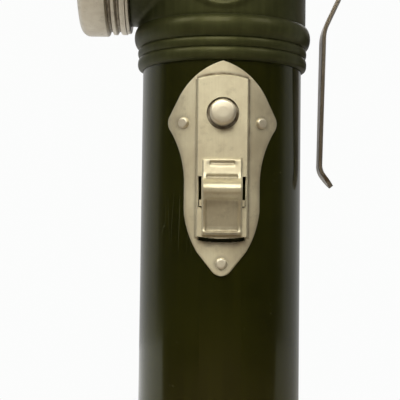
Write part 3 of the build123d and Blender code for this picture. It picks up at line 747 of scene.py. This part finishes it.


# Painted shade on the plate: a dark line along the platform's arched top step, dark lines along its sides, a
# dark band under the slot's open end and dark rings round the rivets.
plate_painted_shade = []
for vertex in shield.data.vertices:
    y, depth = abs(vertex.co.y), plate_tip - vertex.co.z
    at_top = hump(depth, arch_depth(y) - 0.05 * mm, 0.42 * mm) * (y < platform_half)
    if vertex.co.x >= math.sqrt(max(0.0, plate_radius**2 - y * y)) + 0.9 * mm:
        plate_painted_shade.append(0.4 * at_top)
        continue
    at_side = hump(y, platform_half + 0.1 * mm, 0.3 * mm) * (platform_start < depth < platform_end)
    # The right side gets more painted shade than the left, as if lit from the left.
    at_side *= 0.8 if vertex.co.y > 0 else 0.4
    under_slot = step_up(depth, slot_end - 0.6 * mm, slot_end)
    under_slot *= 1 - step_up(depth, slot_end + 0.3 * mm, slot_end + 1.6 * mm)
    under_slot *= 0.55 * (1 - step_up(y, 2.6 * mm, 4.6 * mm))
    from_ear = math.hypot(y - ear_rivet_y, depth - rivet_depth)
    from_foot = math.hypot(y, depth - foot_rivet_depth)
    round_rivet = 0.5 * hump(min(from_ear, from_foot), 1.3 * mm, 0.5 * mm)
    plate_painted_shade.append(min(0.95, at_side + 1.1 * at_top + under_slot + round_rivet))
store_painted_shade(shield, plate_painted_shade)
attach(shield, "casing")
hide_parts("switch_plate")

# ------------------------------------------------------------------ thumb slide
# A pressed thumb piece in the same plate: two short grip ribs, a rolled crest for the thumb
# to push, and a scooped face below it that ends in a small lip. Its lugs ride in the slots.

slide_half = 4.42 * mm
slide_length = 17.0 * mm
slide_base = platform_x + 0.08 * mm
slide_rise = slide_high.x - slide_base
slide_line = [
    (0, 0.35), (0.4, 0.95), (2.0, 1.1), (3.4, 1.25), (4.8, 1.6), (5.4, 2.8), (6.0, 3.75), (6.9, 4.08),
    (8.0, 3.95), (8.8, 3.3), (9.2, 2.6), (9.8, 2.1), (11, 1.75), (13, 1.25), (15.2, 0.8), (16.0, 0.8),
    (16.5, 1.05), (17, 0.6),
]
line_depth = np.array([p[0] * mm for p in slide_line])
line_height = np.array([p[1] for p in slide_line])
line_height *= slide_rise / line_height.max()
fine = np.linspace(0, slide_length, 171)
softener = np.exp(-((np.arange(-7, 8) / 3.0) ** 2))
heights = np.pad(np.interp(fine, line_depth, line_height), 7, mode="edge")
heights = np.convolve(heights, softener / softener.sum(), mode="valid")
grip_ribs = [(1.25 * mm, 2.8 * mm), (4.35 * mm, 3.5 * mm)]  # depth and half width


def slide_surface(y, depth):
    """Height of the thumb piece above its base at a place on it."""
    height = float(np.interp(depth, fine, heights))
    for rib, reach in grip_ribs:
        across = 1 - step_up(abs(y), reach - 0.3 * mm, reach + 0.1 * mm)
        height -= 0.42 * mm * across * hump(depth, rib, 0.45 * mm)
    hollow = step_up(depth, 9.0 * mm, 9.5 * mm) * (1 - step_up(depth, 16.0 * mm, 16.5 * mm))
    height -= 0.4 * mm * hollow * (1 - step_up(abs(y), 3.3 * mm, 3.7 * mm))
    height -= 0.45 * mm * step_up(abs(y), slide_half - 0.45 * mm, slide_half) ** 2
    return max(0.15 * mm, height)


slide_columns = list(np.linspace(0, 2.4, 7)) + list(np.arange(2.5, 3.9, 0.1))
slide_columns += [4.0, 4.1, 4.2, 4.28, 4.34, 4.39, 4.42]
slide_columns = [-c for c in reversed(slide_columns[1:])] + slide_columns
grid_rows = []
slide_vertices = []
for depth in fine:
    z = slide_high.z - depth
    row = [(slide_base + slide_surface(y * mm, depth), y * mm, z) for y in slide_columns]
    row = [(slide_base, -slide_half, z)] + row + [(slide_base, slide_half, z)]
    grid_rows.append(range(len(slide_vertices), len(slide_vertices) + len(row)))
    slide_vertices += row
slide_faces = []
for upper, lower in zip(grid_rows, grid_rows[1:]):
    slide_faces += [(upper[i], upper[i + 1], lower[i + 1], lower[i]) for i in range(len(upper) - 1)]
    slide_faces.append((upper[0], lower[0], lower[-1], upper[-1]))
slide_faces += [tuple(grid_rows[0]), tuple(grid_rows[-1])]
lug_top, lug_bottom = slide_high.z - 9.3 * mm, slide_high.z - 10.7 * mm
for side in (-1, 1):
    lug_corners, lug_sides = box_between(
        (slide_low.x + 0.6 * mm, side * 4.3 * mm, lug_bottom),
        (slide_base + 0.45 * mm, side * 5.0 * mm, lug_top),
    )
    slide_faces += [tuple(len(slide_vertices) + i for i in face) for face in lug_sides]
    slide_vertices += lug_corners
thumb = piece("thumb_slide", slide_vertices, slide_faces)
# Painted reflection and shade on the thumb piece: the scoop below the crest is tinted dark brown where it
# would mirror the dark room below, and the grip ribs' grooves and the lip are darkened as shade.
slide_painted_shade = []
for vertex in thumb.data.vertices:
    y, depth = abs(vertex.co.y), slide_high.z - vertex.co.z
    in_middle = 1 - step_up(y, 3.2 * mm, 3.7 * mm)
    in_scoop = step_up(depth, 9.2 * mm, 9.8 * mm) * (1 - step_up(depth, 15.2 * mm, 16.4 * mm)) * in_middle
    in_grip = max(hump(depth, rib, 0.4 * mm) for rib, _ in grip_ribs) * in_middle
    on_lip = step_up(depth, 14.8 * mm, 15.6 * mm) * (1 - step_up(y, 3.2 * mm, 3.9 * mm))
    slide_painted_shade.append(max(0.3 * in_scoop, 0.45 * in_grip, 0.6 * on_lip))
store_painted_shade(thumb, slide_painted_shade)
finish(thumb, nickel)
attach(thumb, "thumb_slide")
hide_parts("switch_slide")

# ------------------------------------------------------------------ flash button
# A turned push button in bright nickel plate, with a rounded edge and a shallow dish. It stands
# in its clearance hole on a sprung washer, which brings it back up.

button_radius = 2.9 * mm
button_corners = [
    (0, button_low.x, 0),
    (1.5 * mm, button_low.x, 0.2 * mm),
    (1.5 * mm, button_low.x + 0.9 * mm, 0),
    (4.2 * mm, button_low.x + 0.9 * mm, 0.1 * mm),
    (4.2 * mm, button_low.x + 1.3 * mm, 0.1 * mm),
    (button_radius, button_low.x + 1.35 * mm, 0.1 * mm),
    (button_radius, button_high.x - 0.12 * mm, 0.75 * mm),
    (1.2 * mm, button_high.x, 3 * mm),
    (0, button_high.x, 0),
]
button_plate = worn_plate(
    "button_plate", (0.9, 0.86, 0.74), (0.74, 0.68, 0.56), 0.4, 5200.0, (0, 0, button_z), tarnish=0.3
)
push_button = turned("push_button", rounded(button_corners), button_place, 96)
finish(push_button, button_plate)
# Painted shade: the button's flange and lower sides, under the platform, are darkened.
store_painted_shade(push_button, [0.95 * (v.co.x < button_low.x + 1.6 * mm) for v in push_button.data.vertices])
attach(push_button, "flash_button")
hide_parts("flash_button")

# ------------------------------------------------------------------ rivets
# Small domed rivets, set from outside: three through the plate, two through the belt clip and
# two through the hanger's saddle.


def rivet_tree():
    """Geometry Nodes: a domed head on every point, turned by the point's own "aim"."""
    tree = bpy.data.node_groups.new("rivet_heads", "GeometryNodeTree")
    face = tree.interface
    face.new_socket("Geometry", in_out="INPUT", socket_type="NodeSocketGeometry")
    for name, value in (("Head Radius", 1.5 * mm), ("Head Height", 0.75 * mm)):
        face.new_socket(name, in_out="INPUT", socket_type="NodeSocketFloat").default_value = value
    face.new_socket("Material", in_out="INPUT", socket_type="NodeSocketMaterial")
    face.new_socket("Geometry", in_out="OUTPUT", socket_type="NodeSocketGeometry")

    source = node(tree, "NodeGroupInput").outputs
    place = node(tree, "SeparateXYZ", {0: node(tree, "GeometryNodeInputPosition").outputs[0]}).outputs
    flat = sum_of(tree, "MINIMUM", times(tree, place[2], 1.35), 0.93)
    domed = node(tree, "CombineXYZ", {0: place[0], 1: place[1], 2: flat}).outputs[0]
    ball = node(tree, "GeometryNodeMeshUVSphere", {"Segments": 40, "Rings": 24, "Radius": 1.0})
    shape = {"Geometry": ball.outputs["Mesh"], "Position": domed}
    made = node(tree, "GeometryNodeSetPosition", shape).outputs[0]
    sizes = {0: source["Head Radius"], 1: source["Head Radius"], 2: source["Head Height"]}
    size = node(tree, "CombineXYZ", sizes).outputs[0]
    made = node(tree, "GeometryNodeTransform", {"Geometry": made, "Scale": size}).outputs[0]
    aim = node(tree, "GeometryNodeInputNamedAttribute", {"Name": "aim"}, data_type="FLOAT_VECTOR")
    seats = {"Points": source["Geometry"], "Instance": made, "Rotation": aim.outputs["Attribute"]}
    made = node(tree, "GeometryNodeInstanceOnPoints", seats).outputs[0]
    made = node(tree, "GeometryNodeSetShadeSmooth", {"Geometry": made}).outputs[0]
    made = node(tree, "GeometryNodeRealizeInstances", {0: made}).outputs[0]
    coated = {"Geometry": made, "Material": source["Material"]}
    node(tree, "NodeGroupOutput", {0: node(tree, "GeometryNodeSetMaterial", coated).outputs[0]})
    return tree


rivet_group = rivet_tree()


def rivets(name, seats, radius, height, material):
    """Heads at (place, outward direction) seats, as one plain mesh."""
    carrier = bpy.data.meshes.new(name)
    carrier.from_pydata([tuple(place) for place, _ in seats], [], [])
    aim = carrier.attributes.new("aim", "FLOAT_VECTOR", "POINT")
    for item, (_, outward) in zip(aim.data, seats):
        item.vector = Vector(outward).to_track_quat("Z", "Y").to_euler()
    made = bpy.data.objects.new(name, carrier)
    bpy.context.scene.collection.objects.link(made)
    modifier = made.modifiers.new("rivets", "NODES")
    modifier.node_group = rivet_group
    values = {"Head Radius": radius, "Head Height": height, "Material": material}
    for item in rivet_group.interface.items_tree:
        if item.in_out == "INPUT" and item.name in values:
            modifier[item.identifier] = values[item.name]
    worked(made)
    return made


ear_angle = 9.0 * mm / plate_radius
plate_seats = []
for angle, depth in ((ear_angle, rivet_depth), (-ear_angle, rivet_depth), (0, foot_rivet_depth)):
    outward = Vector((math.cos(angle), math.sin(angle), 0))
    plate_seats.append((outward * plate_radius + Vector((0, 0, plate_tip - depth)), outward))
plate_rivets = rivets("plate_rivets", plate_seats, 1.3 * mm, 0.66 * mm, button_plate)
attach(plate_rivets, "casing")
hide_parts("switch_rivets")

# ------------------------------------------------------------------ belt clip
# A strip of spring steel, riveted to the back of the head. It loops over the top and runs down
# close to the tube, tapering to a rounded end that is bent out so that a belt slides under it.

clip_low, clip_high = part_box("belt_clip")
clip_sheet = 1.0 * mm
clip_half, tip_half = clip_high.x, 3.0 * mm
clip_body = tube_radius + 5.1 * mm
clip_bulge = tube_radius + 9.9 * mm
clip_pad = neck_radius + 0.1 * mm + clip_sheet / 2
pad_bottom = collar_z + 20 * mm
pad_top = pad_bottom + 10.5 * mm
clip_foot = collar_z - 26.9 * mm
knee = collar_z + 9.6 * mm
turn_radius = (clip_bulge - clip_pad) / 2
clip_route = rounded([
    (clip_pad, pad_bottom, 0),
    (clip_pad, pad_top + 4 * mm, turn_radius),
    (clip_bulge, pad_top + 4 * mm, turn_radius),
    (clip_bulge, collar_z + 20 * mm, 8 * mm),
    (clip_body, knee, 10 * mm),
    (clip_body - 0.7 * mm, clip_foot + 3.6 * mm, 4 * mm),
    (clip_body + 2.1 * mm, clip_foot, 0),
], closed=False, steps=14)
clip_line = [clip_route[0]]
for point in clip_route[1:]:
    run = point - clip_line[-1]
    pieces_needed = max(1, int(run.length / (0.8 * mm)))
    start = clip_line[-1]
    clip_line += [start + run * (step + 1) / pieces_needed for step in range(pieces_needed)]
across_strip = np.linspace(-1, 1, 15)
section = [(share, 1) for share in across_strip] + [(share, -1) for share in reversed(across_strip)]
clip_vertices, clip_faces = [], []
length_left = sum((b - a).length for a, b in zip(clip_line, clip_line[1:]))
for index, point in enumerate(clip_line):
    before, after = clip_line[max(0, index - 1)], clip_line[min(len(clip_line) - 1, index + 1)]
    along = (after - before).normalized()
    outward = Vector((-along.y, along.x))
    if index:
        length_left -= (point - clip_line[index - 1]).length
    beyond_turn = index > len(clip_line) // 3
    taper = step_up(knee - point.y, 0, knee - clip_foot) if beyond_turn else 0
    half = clip_half + (tip_half - clip_half) * taper
    nose = max(0.0, 1 - length_left / tip_half)
    half *= math.sqrt(max(0.02, 1 - nose * nose))
    on_pad = 1 - step_up(point.y, pad_top - 2 * mm, pad_top + 3 * mm) if not beyond_turn else 0
    for share, side in section:
        x = share * half
        edge = 1 - 0.35 * step_up(abs(share), 0.86, 1.0)
        lift = side * clip_sheet / 2 * edge
        hug = -on_pad * x * x / (2 * neck_radius) + (1 - on_pad) * 0.18 * mm * (1 - share * share)
        place = point - outward * lift
        clip_vertices.append((x, place.x + hug, place.y))
count = len(section)
for index in range(len(clip_line) - 1):
    here, there = index * count, (index + 1) * count
    for i in range(count):
        after = (i + 1) % count
        clip_faces.append((here + i, here + after, there + after, there + i))
clip_faces += [tuple(range(count)), tuple(range(len(clip_vertices) - count, len(clip_vertices)))]
clip = piece("spring_clip", clip_vertices, clip_faces, sharp=50)
# The clip steel is dark grey-brown: partly tarnish, partly painted shade standing in for the shadow and dark
# reflections on the clip's faces.
clip_steel = worn_plate(
    "clip_steel", (0.36, 0.32, 0.27), (0.2, 0.17, 0.13), 0.3, 3600.0, "length", tarnish=0.8
)
finish(clip, clip_steel)
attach(clip, "casing")
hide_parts("belt_clip")

pad_middle = (pad_bottom + pad_top) / 2
clip_seats = [
    (Vector((0, clip_pad + clip_sheet / 2 - 0.02 * mm, pad_middle + offset)), Vector((0, 1, 0)))
    for offset in (-2.75 * mm, 2.75 * mm)
]
clip_heads = rivets("clip_rivet_heads", clip_seats, 1.85 * mm, 0.65 * mm, nickel)
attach(clip_heads, "casing")
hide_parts("clip_rivets")

# ------------------------------------------------------------------ end cap
# The screw cap matches the lens ring: worn nickel plate, a wide band with a rounded bottom
# corner, two fine grooves, a rim at the top, and a recessed floor for the hanger ring.

cap_low, cap_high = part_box("end_cap")
cap_top = cap_high.z
cap_band = cap_high.x
cap_skirt = cap_band - 0.9 * mm
cap_bore = tube_radius + slip
recess_radius, recess_depth, cap_floor = 15.6 * mm, 3.2 * mm, 4.1 * mm
cap_well, shoulder = 16.9 * mm, 12.8 * mm
cap_corners = [
    (cap_bore, cap_top, 0.15 * mm),
    (cap_skirt + 0.55 * mm, cap_top, 0.45 * mm),
    (cap_skirt + 0.55 * mm, cap_top - 8 * mm, 0.45 * mm),
    (cap_skirt, cap_top - 8.4 * mm, 0.2 * mm),
    (cap_skirt, 13.0 * mm, 0.15 * mm),
    (cap_skirt + 0.6 * mm, 12.6 * mm, 0.3 * mm),
    (cap_skirt + 0.6 * mm, 11.8 * mm, 0.3 * mm),
    (cap_skirt, 11.4 * mm, 0.15 * mm),
    (cap_skirt, 10.8 * mm, 0.15 * mm),
    (cap_band, 10.5 * mm, 0.45 * mm),
    (cap_band, 0, 2.6 * mm),
    (recess_radius, 0, 0.5 * mm),
    (recess_radius, recess_depth, 0.4 * mm),
    (0, recess_depth, 0),
    (0, cap_floor, 0),
    (cap_well, cap_floor, 0.3 * mm),
    (cap_well, shoulder, 0.1 * mm),
    (cap_bore, shoulder, 0),
]
cap_plate = worn_plate("cap_plate", (0.76, 0.72, 0.63), (0.52, 0.47, 0.39), 0.34, 5200.0, (0, 0, 0))
cap = turned("screw_cap", rounded(cap_corners), segments=256)
finish(cap, cap_plate)
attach(cap, "end_cap")
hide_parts("end_cap")

ring_box_low, ring_box_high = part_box("hanger_ring")
wire = (ring_box_high.z - ring_box_low.z) / 2
loop_z = (ring_box_high.z + ring_box_low.z) / 2
bar_y = ring_box_high.y - wire
loop_radius = ring_box_high.x - wire
loop_centre_y = ring_box_low.y + wire + loop_radius
bar_half = math.sqrt(loop_radius**2 - (bar_y - loop_centre_y) ** 2)
start_angle = math.atan2(bar_y - loop_centre_y, bar_half)
loop = []
for angle in np.linspace(start_angle, -math.pi - start_angle, 61):
    across, along = loop_radius * math.cos(angle), loop_radius * math.sin(angle)
    loop.append(Vector((across, loop_centre_y + along, loop_z)))
loop += [Vector((x, bar_y, loop_z)) for x in np.linspace(-bar_half, bar_half, 14)[1:-1]]
hanger = swept("hanger_loop", loop, wire, closed=True, sides=20)
finish(hanger, clip_steel)
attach(hanger, "hanger")
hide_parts("hanger_ring")

saddle_low, saddle_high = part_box("hanger_saddle")
saddle_seats = [
    (Vector((0, y, saddle_high.z - 0.52 * mm)), Vector((0, 0, -1)))
    for y in (saddle_low.y + 1.6 * mm, saddle_high.y - 1.6 * mm)
]
saddle_heads = rivets("saddle_rivet_heads", saddle_seats, 1.15 * mm, 0.55 * mm, nickel)
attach(saddle_heads, "end_cap")
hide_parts("saddle_rivets")

# ------------------------------------------------------------------ pieces kept as they are
# Inside parts and the hanger's saddle keep their own solid shape and take their real finish:
# brass threads and leaves, red fibre, waxed card, steel springs and lacquered cell jackets.


def fibre(name, deep, pale, roughness):
    """Pressed board: flecked colour and a felted surface."""
    made, tree, shader, place = blank_material(name)
    fleck = ramp(tree, noise(tree, place, 900, 5, rough=0.7), [(0.35, 0.0), (0.7, 1.0)])
    fill(tree, shader, {
        "Base Color": mixed(tree, fleck, deep, pale),
        "Roughness": sum_of(tree, "ADD", times(tree, fleck, 0.15), roughness),
        "Normal": bumped(tree, noise(tree, place, 2200, 3), 0.35, 0.05 * mm),
    })
    return made


finishes = {
    "liner_card": fibre("waxed_card", (0.3, 0.2, 0.1), (0.48, 0.36, 0.2), 0.5),
    "fibre_board": fibre("red_fibre", (0.16, 0.035, 0.02), (0.3, 0.08, 0.05), 0.45),
    "cell_jacket": paint("cell_jacket", (0.12, 0.015, 0.012), (0.2, 0.03, 0.02), 0.35, 0.3, 0.4),
    "brass_thread": plain_metal("brass", (0.72, 0.52, 0.24), 0.22, (0.42, 0.29, 0.13)),
    "spring_steel": clip_steel,
    "black_rubber": black_rubber,
    "nickel_plate": nickel,
    "clear_glass": window_glass,
    "lead_sleeve": rubber("lead_sleeve"),
}
finishes["brass_leaf"] = finishes["brass_thread"]
for subpart in frame["record"]["subparts"]:
    kept = frame["nodes"][subpart["node"]]
    if not kept.hide_render:
        finish(kept, finishes[subpart["material_slot"]])

# ------------------------------------------------------------------ floor, light and camera
# A plain pale floor, one large soft light above the front and a weaker one on each side. What
# the gloss mirrors is darker in front: the world is dimmer there, and the floor shows glossy rays a
# painted dark reflection, mostly in front of the object and to its right.


def soft_light(name, place, size, power, tint=(1.0, 0.95, 0.82)):
    """Rectangular light that looks at the middle of the object."""
    data = bpy.data.lights.new(name, "AREA")
    data.shape = "RECTANGLE"
    data.size, data.size_y = size
    data.energy = power
    data.color = tint
    made = bpy.data.objects.new(name, data)
    made.location = place
    made.rotation_euler = (Vector((0, 0, 0.12)) - Vector(place)).to_track_quat("-Z", "Y").to_euler()
    bpy.context.scene.collection.objects.link(made)


soft_light("front_top", (0.75, -0.1, 0.75), (0.5, 0.5), 6.5, (1.0, 0.95, 0.8))
soft_light("front_left", (0.5, -0.75, 0.85), (0.5, 0.4), 4.2)
soft_light("front_right", (0.5, 0.75, 0.85), (0.5, 0.4), 3.0)
soft_light("back", (-0.8, 0.0, 0.6), (0.8, 0.5), 2.0, (1, 1, 1))


def between(tree, value, low, high, to_low=0.0, to_high=1.0):
    """A value's place in a range, clamped."""
    limits = {"Value": value, "From Min": low, "From Max": high, "To Min": to_low, "To Max": to_high}
    return node(tree, "MapRange", limits).outputs[0]


pale, black = (0.97, 0.975, 0.97), (0.0, 0.0, 0.0)
floor_material, tree, shader, place = blank_material("pale_floor")
speckle = ramp(tree, noise(tree, place, 40, 4), [(0.3, (0.8, 0.8, 0.79)), (0.7, (0.84, 0.84, 0.83))])
reach = node(tree, "VectorMath", {0: place}, operation="LENGTH").outputs["Value"]
far = ramp(tree, between(tree, reach, 0.0, 2.0), [(0.15, 0.0), (0.45, 1.0)])
fill(tree, shader, {
    "Base Color": mixed(tree, far, speckle, black),
    "Emission Color": mixed(tree, far, black, pale),
    "Emission Strength": 1.0,
    "Specular IOR Level": 0.0,
    "Roughness": 0.7,
})
# Painted reflection: glossy rays see a dark brown copy of the floor, mostly in front of the object and to its
# right, so the gloss mirrors dark there.
spot = node(tree, "SeparateXYZ", {0: place}).outputs
in_front = between(tree, spot[0], 0.0, 0.08)
at_right = between(tree, spot[1], 0.02, 0.06, 0.12, 0.65)
reflection_dark_share = sum_of(tree, "MAXIMUM", in_front, at_right)
mirrored = times(tree, node(tree, "LightPath").outputs["Is Glossy Ray"], reflection_dark_share)
painted_dark_reflection = node(tree, "BsdfDiffuse", {"Color": (0.2, 0.15, 0.1, 1)}).outputs[0]
floor_mix = node(tree, "MixShader", {0: mirrored, 1: shader.outputs[0], 2: painted_dark_reflection}).outputs[0]
fill(tree, tree.nodes["Material Output"], {"Surface": floor_mix})
floor_radius, floor_top = 2.5, -0.0001
floor_outline = [(0, -0.01), (floor_radius, -0.01), (floor_radius, 0), (0, 0)]
floor = turned("floor", floor_outline, Matrix.Translation((0, 0, floor_top)), 96)
finish(floor, floor_material)

world = bpy.data.worlds.new("studio")
bpy.context.scene.world = world
world.use_nodes = True
sky = world.node_tree
sky.nodes.clear()
heading = node(sky, "SeparateXYZ", {0: node(sky, "TexCoord").outputs["Generated"]}).outputs
surround = ramp(sky, between(sky, heading[0], -1.0, 1.0), [
    (0.0, 0.5), (0.12, 0.5), (0.2, 0.42), (0.37, 0.3), (0.43, 0.1), (0.5, 0.03), (1.0, 0.02),
])
surround = times(sky, surround, between(sky, heading[1], 0.0, 0.6, 1.0, 0.7))
reflected = node(sky, "Background", {"Color": surround, "Strength": 1.0}).outputs[0]
seen = node(sky, "Background", {"Color": (*pale, 1), "Strength": 1.0}).outputs[0]
looked_at = node(sky, "LightPath").outputs["Is Camera Ray"]
backdrop = node(sky, "MixShader", {0: looked_at, 1: reflected, 2: seen}).outputs[0]
node(sky, "OutputWorld", {"Surface": backdrop})
bpy.context.scene.view_settings.view_transform = "Standard"

camera_data = bpy.data.cameras.new("camera")
camera_data.lens = 131.4
camera_data.sensor_width = 36.0
camera_data.clip_start = 0.01
camera = bpy.data.objects.new("camera", camera_data)
camera.location = (0.340, -0.0048, 0.085)
look_at = Vector((0, -0.0048, 0.1097))
gaze = (look_at - camera.location).to_track_quat("-Z", "Y")
roll = Matrix.Rotation(math.radians(0.7), 4, "Z").to_quaternion()
camera.rotation_mode = "QUATERNION"
camera.rotation_quaternion = gaze @ roll
bpy.context.scene.collection.objects.link(camera)
bpy.context.scene.camera = camera
